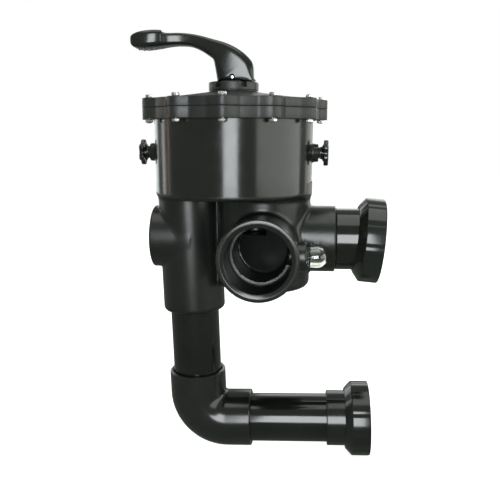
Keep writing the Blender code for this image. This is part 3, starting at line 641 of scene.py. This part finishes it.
def make_barrel():
    """Upper half of the body: barrel, scalloped flange, gauge bosses and parting line."""
    foot = BODY_BOTTOM + 6
    lip = 0.06
    wall = [(CAVITY_R, foot, 0), (BODY_R + lip, foot, 0), (BODY_TOP_R + lip, -BODY_FLANGE_T + 1, 0),
            (BODY_TOP_R + lip, -1, 0.5), (CAVITY_R, -1, 1.0)]
    barrel = mesh_object("barrel", lathe(rounded(wall), 256), VALVE)
    flange = mesh_object("body_flange", extruded(scalloped_outline(), -BODY_FLANGE_T, -0.05), VALVE)
    bore = mesh_object("bore", lathe([(0, -30), (CAVITY_R, -30), (CAVITY_R, 30), (0, 30)], 192),
                       VALVE)
    boolean(flange, "DIFFERENCE", [bore])
    bevelled(flange, 0.6)
    finish_piece(flange, "valve", "moulded_black", "valve_body")
    flange.data.materials[0] = SATIN
    pieces = [barrel]
    for side, turn in ((-1, ALONG_MINUS_X), (1, ALONG_X)):
        boss = rounded([(6.6, 84, 0), (16.0, 95.5, 0), (11.4, 99.6, 2.2), (10.9, 106, 0.9),
                        (6.6, 106, 0.6)])
        pieces.append(mesh_object(f"boss{side}", lathe(boss, 64),
                                  VALVE @ shift(z=GAUGE_Z) @ turn))
    seam = box((-0.35, -BODY_R - 0.30, BODY_BOTTOM + 4), (0.35, -BODY_R + 2, -BODY_FLANGE_T))
    pieces.append(mesh_object("seam", seam, VALVE))
    ridge = FRONT_PORT_Z + FRONT_NECK_R
    seam = box((FRONT_PORT_X - 0.35, 15 - FRONT_END, ridge - 2), (FRONT_PORT_X + 0.35, -66, ridge + 0.3))
    pieces.append(mesh_object("neck_seam", seam, VALVE))
    barrel = joined("body_barrel", pieces)
    return finish_piece(barrel, "valve", "moulded_black", "valve_body")


# ---------------------------------------------------------------- lid

def make_lid():
    """Conical lid with its collar; the six notches of the collar take the lever's key."""
    dome = rounded([(12, 12, 0.5), (26, 12, 3), (38, 10.5, 3), (80, 3.5, 3), (84, 0, 1),
                    (97.5, 0, 0), (97.5, LID_FLANGE_T, 0.8), (COLLAR_R + 4.5, 19.6, 3.0),
                    (COLLAR_R + 0.8, 20.6, 0.8), (COLLAR_R - 0.8, 21.0, 0.5),
                    (COLLAR_R - 0.8, 22.2, 0.4), (COLLAR_R, 22.6, 0.4),
                    (COLLAR_R, COLLAR_TOP, 1.7), (24.0, COLLAR_TOP, 0.8), (24.0, WASHER_TOP - 4.3, 0.5),
                    (12, WASHER_TOP - 4.3, 0.5)])
    lid = mesh_object("lid_dome", lathe(dome, 192), VALVE)
    slots = []
    for k in range(6):
        turn = Matrix.Rotation(TAU * k / 6, 4, "Z")
        slots.append(mesh_object(f"slot{k}", box((23, -3.7, COLLAR_TOP - 7), (40, 3.7, 40)),
                                 VALVE @ turn))
    boolean(lid, "DIFFERENCE", slots)
    flange = mesh_object("lid_flange", extruded(scalloped_outline(), 0.05, LID_FLANGE_T), VALVE)
    bore = mesh_object("bore", lathe([(0, -30), (97, -30), (97, 30), (0, 30)], 192), VALVE)
    boolean(flange, "DIFFERENCE", [bore])
    bevelled(flange, 0.8)
    lid = joined("lid_look", [lid, flange])
    return finish_piece(lid, "valve", "satin_black", "lid")


# ---------------------------------------------------------------- lever

LEVER_ROWS = (
    # top x, top z, bottom x, bottom z, half width
    (-125.6, 84.2, -125.6, 78.4, 12.0), (-124.6, 87.0, -124.2, 75.6, 16.0),
    (-121.0, 89.6, -120.5, 73.4, 18.6), (-114.0, 91.9, -114.0, 72.5, 20.2),
    (-104.0, 93.4, -104.0, 72.6, 20.5), (-95.0, 93.9, -96.0, 73.5, 19.6),
    (-89.0, 93.8, -89.6, 74.3, 18.0), (-87.0, 93.2, -87.4, 74.6, 17.1),
    (-85.8, 91.5, -86.0, 74.9, 16.4), (-83.0, 90.6, -83.4, 75.2, 15.6),
    (-77.0, 90.4, -77.0, 75.9, 14.0), (-66.0, 90.6, -66.0, 76.4, 12.6),
    (-52.0, 89.4, -53.0, 75.4, 12.5), (-38.0, 86.7, -43.0, 71.8, 13.5),
    (-24.0, 82.8, -33.0, 66.0, 15.5), (-10.0, 78.9, -24.3, 59.0, 17.5),
    (2.0, 73.8, -21.8, 50.0, 19.0), (12.0, 67.6, -20.4, 42.0, 19.6),
    (20.0, 60.6, -19.0, HUB_BOTTOM + 1.2, 19.8), (24.6, 54.5, -17.8, HUB_BOTTOM, 19.8),
    (26.2, 46.0, 0.0, HUB_BOTTOM, 19.4), (26.6, HUB_BOTTOM + 3, 20.0, HUB_BOTTOM, 18.4))


def spline(rows, per_span):
    """Catmull-Rom curve through rows of numbers."""
    rows = np.array(rows, float)
    padded = np.vstack([2 * rows[0] - rows[1], rows, 2 * rows[-1] - rows[-2]])
    result = []
    for k in range(1, len(padded) - 2):
        p0, p1, p2, p3 = padded[k - 1:k + 3]
        for j in range(per_span):
            t = j / per_span
            result.append(0.5 * (2 * p1 + (p2 - p0) * t + (2 * p0 - 5 * p1 + 4 * p2 - p3) * t ** 2
                                 + (3 * p1 - p0 - 3 * p2 + p3) * t ** 3))
    result.append(rows[-1])
    return result


def lofted(sections):
    bm = bmesh.new()
    loops = [[bm.verts.new(point) for point in section] for section in sections]
    for first, second in zip(loops, loops[1:]):
        for k in range(len(first)):
            after = (k + 1) % len(first)
            bm.faces.new((first[k], first[after], second[after], second[k]))
    caps = [bm.faces.new(loops[0][::-1]), bm.faces.new(loops[-1])]
    bmesh.ops.triangulate(bm, faces=caps)
    return bm


def lever_section(row, count=40):
    """Rounded section with a soft ridge along each upper edge."""
    top_x, top_z, bottom_x, bottom_z, half = row
    top = Vector((top_x, 0.0, top_z))
    bottom = Vector((bottom_x, 0.0, bottom_z))
    middle = (top + bottom) / 2
    up = (top - bottom) / 2
    points = []
    for k in range(count):
        angle = TAU * k / count
        across = math.copysign(abs(math.cos(angle)) ** 0.36, math.cos(angle))
        rise = math.copysign(abs(math.sin(angle)) ** 0.46, math.sin(angle))
        points.append(middle + up * rise + Vector((0, half * across, 0)))
    return points


def make_lever():
    """Cranked lever: ribbed paddle, arched neck and a hub slotted over the stem."""
    place = VALVE
    lever = mesh_object("lever", lofted([lever_section(row) for row in spline(LEVER_ROWS, 4)]),
                        place)
    nose = arc((1.8, 0), 12.0, math.pi / 2, -math.pi / 2, 24)
    slot = mesh_object("slot", extruded([(-15.5, -12.0), (-15.5, 12.0)] + nose, 20, 53), place)
    hole = mesh_object("hole", lathe([(0, -30), (3.6, -30), (3.6, 30), (0, 30)], 40),
                       place @ shift(z=PIN_Z) @ ALONG_Y)
    boolean(lever, "DIFFERENCE", [slot, hole])
    ribs = []
    under = sorted((row[2], row[3]) for row in LEVER_ROWS if row[2] < -60)
    for k in range(5):
        x = -118.0 + 6.8 * k
        half = 13.0 - abs(k - 2.0)
        low = float(np.interp(x, *np.array(under).T))
        rib = box((-0.9, -half, -1.6), (0.9, half, 1.6))
        spot = place @ shift(x, 0, low + 1.1) @ Matrix.Rotation(math.radians(14), 4, "Z")
        ribs.append(bevelled(mesh_object(f"rib{k}", rib, spot), 0.45))
    lever = joined("lever_look", [lever] + ribs)
    return finish_piece(lever, "lever", "moulded_black", "handle")


def make_pin_and_washer():
    pin = rounded([(0, -18.5, 0), (2.2, -18.3, 0.8), (3.3, -17.0, 0.8), (3.3, 17.0, 0.8),
                   (2.2, 18.3, 0.8), (0, 18.5, 0)])
    obj = mesh_object("handle_pin_look", lathe(pin, 40), VALVE @ shift(z=PIN_Z) @ ALONG_Y)
    finish_piece(obj, "diverter", "bright_steel", "handle_pin")
    under = WASHER_TOP - 4.0
    washer = rounded([(12.0, under, 0.4), (23.5, under, 0.4), (23.5, WASHER_TOP, 0.5),
                      (12.0, WASHER_TOP, 0.5)])
    obj = mesh_object("slip_washer_look", lathe(washer, 128), VALVE)
    finish_piece(obj, "slip_ring", "washer_black", "slip_washer")


# ---------------------------------------------------------------- fasteners

def hex_wave(across_flats):
    """Radius change that turns a round bar into a hexagon with chamfered ends."""
    def wave(angle, radius, height):
        sector = (angle + TAU / 12) % (TAU / 6) - TAU / 12
        flat = across_flats / 2 / math.cos(sector)
        return min(radius, flat)
    return wave


def make_fasteners():
    """Bolts with chamfered hex heads on the lid, and nuts below the body's flange."""
    seat = LID_FLANGE_T + 0.3
    corner = HEX_ACROSS_FLATS / math.sqrt(3.0)
    inner = corner - 0.7
    under = -BODY_FLANGE_T - 0.3
    head = [(0, seat), (inner, seat), (corner, seat + 0.4), (corner, seat + 2.8),
            (inner, seat + 3.5), (3.1, seat + 3.5), (2.7, seat + 3.2), (0, seat + 3.2)]
    shank = rounded([(0, under - 4.0, 0), (2.0, under - 4.0, 0.3), (2.5, under - 3.5, 0.2),
                     (2.5, seat + 1, 0), (0, seat + 1, 0)])
    nut = [(2.8, under - 3.4), (inner, under - 3.4), (corner, under - 2.8), (corner, under - 0.5),
           (inner, under), (2.8, under)]
    for k in range(BOLT_COUNT):
        angle = TAU * k / BOLT_COUNT
        spot = VALVE @ shift(BOLT_CIRCLE_R * math.cos(angle), BOLT_CIRCLE_R * math.sin(angle))
        spot = spot @ Matrix.Rotation(angle + 0.35 * math.sin(5.0 * k + 1), 4, "Z")
        pieces = [mesh_object("head", lathe(head, 72, hex_wave(HEX_ACROSS_FLATS)), spot),
                  mesh_object("shank", lathe(shank, 24), spot)]
        bolt = joined(f"bolt_look_{k + 1:02d}", pieces)
        finish_piece(bolt, "valve", "bright_steel", f"bolt_{k + 1:02d}")
        ring = mesh_object(f"nut_look_{k + 1:02d}", lathe(nut, 72, hex_wave(HEX_ACROSS_FLATS)), spot)
        finish_piece(ring, "valve", "bright_steel", f"nut_{k + 1:02d}")


# ---------------------------------------------------------------- gauge plugs and sight glass

def make_plugs():
    """Knobbed screw plugs in the two gauge ports."""
    def lobes(angle, radius, height):
        if radius < 10.0 or height < 6.0:
            return radius
        return radius * (0.90 + 0.10 * math.cos(6 * angle))

    shape = rounded([(0, -24, 0), (5.4, -24, 0.4), (6.2, -22.5, 0.4), (6.2, 0.3, 0.2),
                     (5.2, 0.4, 0.2), (5.2, 2.0, 0.2), (7.6, 2.0, 0.5), (7.6, 4.2, 1.0),
                     (11.5, 6.6, 1.0), (15.7, 6.7, 1.0), (15.7, 12.2, 1.4), (9.0, 12.2, 0.8),
                     (8.0, 11.4, 0.6), (0, 11.4, 0)])
    for side in ("left", "right"):
        place = facing(f"{side}_plug_spin")
        plug = mesh_object(f"gauge_plug_{side}_look", lathe(shape, 144, lobes), place)
        finish_piece(plug, f"{side}_plug", "moulded_black", f"gauge_plug_{side}")
        seal = mesh_object(f"gauge_plug_oring_{side}_look", torus(6.35, 0.75, 48),
                           place @ shift(z=1.1))
        finish_piece(seal, f"{side}_plug", "rubber", f"gauge_plug_oring_{side}")


def make_sight_glass():
    """Clear dome with its thread inside the boss's mouth."""
    place = VALVE @ shift(SIGHT_BOSS_END, SIGHT_Y, SIGHT_Z) @ ALONG_X
    dome = [(12.2 * math.cos(a), 12.5 + 11.4 * math.sin(a))
            for a in (math.radians(6 * k) for k in range(15))] + [(0, 23.9)]
    inner = [(9.9 * math.cos(a), 12.5 + 9.1 * math.sin(a))
             for a in (math.radians(6 * k) for k in range(15))] + [(0, 21.6)]
    thread = []
    for k in range(8):
        low = -12.6 + 1.6 * k
        thread += [(9.5, low), (9.95, low + 0.5), (9.95, low + 0.9), (9.5, low + 1.4)]
    profile = ([(7.8, -13.0)] + thread + [(9.9, 0.4), (9.9, 2.2), (12.0, 2.2), (12.2, 2.6)]
               + dome + inner[::-1] + [(9.9, 4.5), (7.8, 3.0)])
    glass = mesh_object("sight_glass_look", lathe(profile, 72), place, 40.0)
    finish_piece(glass, "valve", "clear_dome", "sight_glass")
    seal = mesh_object("sight_glass_oring_look", torus(11.1, 0.85, 64), place @ shift(z=1.2))
    finish_piece(seal, "valve", "rubber", "sight_glass_oring")


# ---------------------------------------------------------------- pipework

def make_tailpiece(name, place, start, face, radius):
    """Union end: glue socket with a bevelled rim, flange and O-ring groove."""
    flange_r = radius + 5.6
    profile = rounded([(SOCKET_R, start, 0.6), (radius, start, 1.2), (radius, face - 9.0, 0.8),
                       (flange_r, face - 9.0, 0.6), (flange_r, face, 0.8),
                       (radius + 1.3, face, 0.3), (radius + 1.3, face - 2.6, 0.2),
                       (radius - 2.5, face - 2.6, 0.2), (radius - 2.5, face, 0.3),
                       (BORE_R, face, 0.6), (BORE_R, start + 26, 0.3),
                       (SOCKET_R, start + 26, 0.2)])
    tail = mesh_object(f"{name}_tailpiece_look", lathe(profile, 160), place)
    finish_piece(tail, "valve", "pipe_black" if name == "upper" else "moulded_black",
                 f"{name}_tailpiece")
    seal = mesh_object(f"{name}_union_oring_look", torus(radius - 0.6, 1.45, 128),
                       place @ shift(z=face - 0.9))
    finish_piece(seal, "valve", "rubber", f"{name}_union_oring")


def make_nut(name, place, radius, tail_r):
    """Union nut: cone, barrel with shallow grip pads, lip and threaded bore."""
    lip = 5.6
    chamfer = 8.6
    end = chamfer + 23.0
    bore = radius - 5.4
    pads = 12

    def grip(angle, r, height):
        if r < radius - 3.0 or not chamfer - 1.0 < height < end - 1.0:
            return r
        return r - 0.55 * max(0.0, math.cos(pads * angle)) ** 4

    thread = []
    for k in range(6):
        low = end - 2.0 - 3.6 * k
        thread += [(bore, low), (bore + 1.1, low - 1.2), (bore + 1.1, low - 1.8), (bore, low - 3.0)]
    outside = rounded([(tail_r + 1.3, 0, 0.5), (tail_r + 3.4, 0, 1.0), (radius, chamfer, 1.2),
                       (radius, end, 1.6), (bore + 0.6, end, 0.8)])
    inside = [(bore, end - 1.2)] + thread + [(bore, lip), (tail_r + 1.3, lip)]
    nut = mesh_object(f"{name}_nut_look", lathe(outside + inside, 288, grip), place)
    finish_piece(nut, f"{name}_union_nut", "moulded_black", f"{name}_nut")


def pipe(name, place, start, end):
    """Thin-walled pipe with eased ends."""
    profile = rounded([(BORE_R, start, 0.4), (PIPE_R, start, 0.6), (PIPE_R, end, 0.6),
                       (BORE_R, end, 0.4)])
    obj = mesh_object(f"{name}_look", lathe(profile, 160), place)
    return finish_piece(obj, "valve", "pipe_black", name)


def elbow_bm(sides=128):
    """Elbow swept through its bend, with a socket and a bevelled rim at each end."""
    top = ELBOW_TOP
    corner = ELBOW_BEND_R
    start = -CROSS_DROP + corner
    outer = ELBOW_R
    rows = [((0, top), 0.0, outer - 1.9, SOCKET_R + 1.6),
            ((0, top - 0.5), 0.0, outer - 0.7, SOCKET_R + 0.9),
            ((0, top - 1.6), 0.0, outer, SOCKET_R), ((0, start + 2.0), 0.0, outer, SOCKET_R),
            ((0, start), 0.0, outer, BORE_R)]
    bends = 24
    for k in range(1, bends):
        angle = math.pi / 2 * k / bends
        rows.append(((corner - corner * math.cos(angle), start - corner * math.sin(angle)), angle,
                     outer, BORE_R))
    level = -CROSS_DROP
    end = ELBOW_SIDE_END
    rows += [((corner, level), math.pi / 2, outer, BORE_R),
             ((corner + 2.0, level), math.pi / 2, outer, SOCKET_R),
             ((end - 1.6, level), math.pi / 2, outer, SOCKET_R),
             ((end - 0.5, level), math.pi / 2, outer - 0.7, SOCKET_R + 0.9),
             ((end, level), math.pi / 2, outer - 1.9, SOCKET_R + 1.6)]
    bm = bmesh.new()
    outer_rings, inner_rings = [], []
    for (x, z), angle, big, small in rows:
        side = Vector((math.cos(angle), 0.0, math.sin(angle)))
        for rings, radius in ((outer_rings, big), (inner_rings, small)):
            rings.append([bm.verts.new(Vector((x, 0.0, z)) + side * (radius * math.cos(TAU * k / sides))
                                       + Vector((0, radius * math.sin(TAU * k / sides), 0)))
                          for k in range(sides)])
    loops = outer_rings + inner_rings[::-1]
    for first, second in zip(loops, loops[1:] + loops[:1]):
        for k in range(sides):
            after = (k + 1) % sides
            bm.faces.new((first[k], first[after], second[after], second[k]))
    return bm


def make_pipework():
    upper = VALVE @ shift(z=PORT_Z) @ ALONG_X
    lower = DROP @ shift(z=-CROSS_DROP) @ ALONG_X
    pipe("upper_nipple", upper, UPPER_PORT_END - 37, UPPER_PORT_END + 25.5)
    pipe("down_pipe", DROP, -CROSS_DROP + ELBOW_BEND_R + 0.8, -COLUMN_LENGTH + 37.7)
    pipe("cross_pipe", lower, ELBOW_BEND_R + 0.8, LOWER_TAIL_START + 25.7)
    make_tailpiece("upper", upper, UPPER_PORT_END + 0.3, UPPER_FACE, UPPER_TAIL_R)
    make_tailpiece("lower", lower, LOWER_TAIL_START, LOWER_FACE, LOWER_TAIL_R)
    make_nut("upper", facing("upper_nut_spin") @ shift(z=-3.0), UPPER_NUT_R,
             UPPER_TAIL_R)
    make_nut("lower", lower @ shift(z=LOWER_NUT_START), LOWER_NUT_R, LOWER_TAIL_R)
    elbow = mesh_object("elbow_look", elbow_bm(), DROP)
    finish_piece(elbow, "valve", "moulded_black", "elbow")


# ---------------------------------------------------------------- inside pieces

def make_inside():
    """Round wire spring under the lid, and tori for the lid and stem O-rings; other inner CAD solids keep their
    shape.
    """
    bm = bmesh.new()
    turns, per_turn, sides = 5, 48, 12
    loops = []
    for k in range(turns * per_turn + 1):
        angle = TAU * k / per_turn
        height = -42.5 + 51.9 * k / (turns * per_turn)
        outward = Vector((math.cos(angle), math.sin(angle), 0))
        center = outward * 16.5 + Vector((0, 0, height))
        loops.append([bm.verts.new(center + outward * (1.7 * math.cos(TAU * j / sides))
                                   + Vector((0, 0, 1.7 * math.sin(TAU * j / sides))))
                      for j in range(sides)])
    for first, second in zip(loops, loops[1:]):
        for j in range(sides):
            after = (j + 1) % sides
            bm.faces.new((first[j], first[after], second[after], second[j]))
    bm.faces.new(loops[0][::-1])
    bm.faces.new(loops[-1])
    spring = mesh_object("spring_look", bm, VALVE)
    finish_piece(spring, "diverter", "bright_steel", "spring")
    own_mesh(spring)
    seals = {"lid_oring": ("valve", 92.5, 1.7, -1.95), "stem_oring_1": ("diverter", 10.75, 1.05, 15.0),
             "stem_oring_2": ("diverter", 10.75, 1.05, 22.0)}
    for node, (body, major, minor, height) in seals.items():
        seal = mesh_object(f"{node}_look", torus(major, minor, 160), VALVE @ shift(z=height))
        finish_piece(seal, body, "rubber", node)


def dress_cad_nodes():
    """Every CAD node that stays in view gets its slot's procedural material."""
    slots = {entry["node"]: entry["material_slot"] for entry in frame["record"]["subparts"]}
    for name, node in frame["nodes"].items():
        if node.hide_render:
            continue
        node.data.materials.clear()
        node.data.materials.append(SLOTS[slots[name]])


# ---------------------------------------------------------------- stage, lights and camera

FLOOR_R = 6.0     # metres


def make_floor():
    """Pale floor just under the lowest pipe."""
    low = CAD_BOX[0][2]
    bm = bmesh.new()
    bmesh.ops.create_circle(bm, cap_ends=True, segments=96, radius=FLOOR_R)
    mesh = bpy.data.meshes.new("floor")
    bm.to_mesh(mesh)
    bm.free()
    floor = bpy.data.objects.new("floor", mesh)
    floor.location = (0, 0, low - 0.001)
    bpy.context.scene.collection.objects.link(floor)
    material, _, shader = new_material("pale_floor")
    shader.inputs["Base Color"].default_value = (0.86, 0.86, 0.86, 1.0)
    shader.inputs["Roughness"].default_value = 0.9
    shader.inputs["Emission Color"].default_value = (1.0, 1.0, 1.0, 1.0)
    shader.inputs["Emission Strength"].default_value = 0.80
    mesh.materials.append(material)
    floor.visible_glossy = False


def make_world():
    """A world that is white to the eye, and dim and brighter overhead in reflections."""
    world = bpy.data.worlds.new("studio")
    world.use_nodes = True
    bpy.context.scene.world = world
    tree = world.node_tree
    nodes, links = tree.nodes, tree.links
    nodes.clear()
    output = nodes.new("ShaderNodeOutputWorld")
    seen = nodes.new("ShaderNodeBackground")
    seen.inputs["Color"].default_value = (1.0, 1.0, 1.0, 1.0)
    seen.inputs["Strength"].default_value = 1.0
    room = nodes.new("ShaderNodeBackground")
    room.inputs["Strength"].default_value = 0.40
    coordinates = nodes.new("ShaderNodeTexCoord")
    split = nodes.new("ShaderNodeSeparateXYZ")
    links.new(coordinates.outputs["Generated"], split.inputs["Vector"])
    height = nodes.new("ShaderNodeMapRange")
    height.inputs["From Min"].default_value = -0.6
    height.inputs["From Max"].default_value = 0.9
    links.new(split.outputs["Z"], height.inputs["Value"])
    colors = nodes.new("ShaderNodeMix")
    colors.data_type = "RGBA"
    colors.inputs["A"].default_value = (0.38, 0.43, 0.36, 1.0)
    colors.inputs["B"].default_value = (0.92, 1.0, 0.90, 1.0)
    links.new(height.outputs["Result"], colors.inputs["Factor"])
    links.new(colors.outputs["Result"], room.inputs["Color"])
    path = nodes.new("ShaderNodeLightPath")
    pick = nodes.new("ShaderNodeMixShader")
    links.new(path.outputs["Is Camera Ray"], pick.inputs["Fac"])
    links.new(room.outputs["Background"], pick.inputs[1])
    links.new(seen.outputs["Background"], pick.inputs[2])
    links.new(pick.outputs["Shader"], output.inputs["Surface"])


def area_light(name, place, aim, size, energy, color=(1, 1, 1)):
    light = bpy.data.lights.new(name, "AREA")
    light.shape = "RECTANGLE"
    light.size, light.size_y = size
    light.energy = energy
    light.color = color
    obj = bpy.data.objects.new(name, light)
    obj.location = place
    direction = Vector(aim) - Vector(place)
    obj.rotation_euler = direction.to_track_quat("-Z", "Y").to_euler()
    obj.visible_camera = False
    bpy.context.scene.collection.objects.link(obj)
    return obj


# name, direction round the stem in degrees from the front towards the filter, width, radiance, color
WALLS = (
    ("window_front", 2.0, 0.85, 12.0, (0.94, 0.98, 1.0)),
    ("wall_right", 76.0, 3.9, 2.4, (0.96, 1.0, 0.94)),
    ("wall_back_right", 148.0, 1.5, 0.8, (1.0, 1.0, 0.96)),
    ("window_back_left", -145.0, 1.2, 1.8, (0.90, 0.97, 1.0)),
    ("door_left", -111.0, 0.35, 2.5, (1.0, 1.0, 1.0)),
    ("post_left", -98.0, 0.12, 2.5, (1.0, 0.65, 0.45)),
)


def make_lights():
    """Upright panels round the valve, which show as bands on the barrel, and a soft ceiling."""
    middle = joint_place("turn")
    reach, height = 2.5, 1.4
    for name, degrees, width, radiance, color in WALLS:
        angle = math.radians(degrees)
        place = (middle.x + reach * math.sin(angle), -reach * math.cos(angle), 0.42)
        power = radiance * math.pi * width * height
        area_light(name, place, (middle.x, 0.0, 0.42), (width, height), power, color)
    target = (-0.13, 0.0, 0.0)
    area_light("ceiling", (-0.1, -0.2, 2.4), target, (2.2, 2.2), 26)
    area_light("behind", (0.4, 2.4, 0.9), target, (1.8, 1.2), 10)


def make_camera():
    """The camera that fits the known lines of the valve."""
    focal_px, frame_px = 620.0, 500.0
    distance, around = 0.7913, 0.1139
    height = -0.03102
    yaw, pitch, roll = 0.0264, 0.1838, 0.0036
    place = joint_place("turn") + Vector((distance * math.sin(around), -distance * math.cos(around),
                                          height))
    ahead = Vector((-math.sin(around), math.cos(around), 0.0))
    aside = Vector((math.cos(around), math.sin(around), 0.0))
    level = (ahead * math.cos(yaw) + aside * math.sin(yaw)).normalized()
    forward = (level * math.cos(pitch) - Vector((0, 0, 1)) * math.sin(pitch)).normalized()
    right = forward.cross(Vector((0, 0, 1))).normalized()
    up = right.cross(forward).normalized()
    right, up = (right * math.cos(roll) + up * math.sin(roll),
                 up * math.cos(roll) - right * math.sin(roll))
    data = bpy.data.cameras.new("camera")
    data.sensor_width = 36.0
    data.lens = 36.0 * focal_px / frame_px
    data.clip_start = 0.01
    camera = bpy.data.objects.new("camera", data)
    turn = Matrix((right, up, -forward)).transposed().to_4x4()
    camera.matrix_world = Matrix.Translation(place) @ turn
    bpy.context.scene.collection.objects.link(camera)
    bpy.context.scene.camera = camera


make_camera()
make_world()
make_lights()
make_floor()
make_moulding()
make_mouths()
make_barrel()
make_lid()
make_lever()
make_pin_and_washer()
make_fasteners()
make_plugs()
make_sight_glass()
make_pipework()
make_inside()
dress_cad_nodes()
bpy.context.scene.view_settings.view_transform = "Standard"
